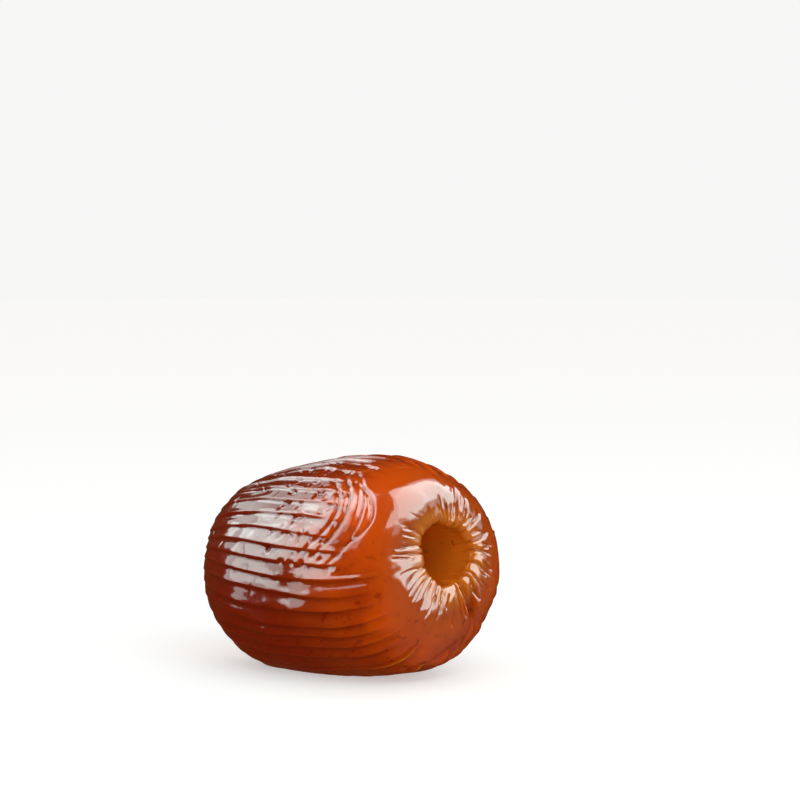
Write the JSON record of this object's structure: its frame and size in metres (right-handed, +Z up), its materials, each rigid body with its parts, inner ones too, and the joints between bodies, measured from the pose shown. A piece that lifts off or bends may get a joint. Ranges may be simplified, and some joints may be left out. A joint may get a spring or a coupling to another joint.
{
  "type": "candied date",
  "caption": "Glossy amber candied date on its side, scored lengthwise all round, with puckered ends and the pit's hole open from end to end.",
  "frame": {"origin": "middle of the footprint of the bounding box, on the surface that the fruit lies on", "axes": "+Z up, +X along the fruit towards its blunt end, whose hole faces the viewer in the picture"},
  "size_m": [0.041, 0.0314, 0.0305],
  "materials": {
    "syrup_soaked_flesh": "clear amber to red-brown syrup-soaked flesh with a wet gloss"
  },
  "bodies": {
    "root": {"candied_date": "syrup_soaked_flesh"}
  },
  "joints": []
}
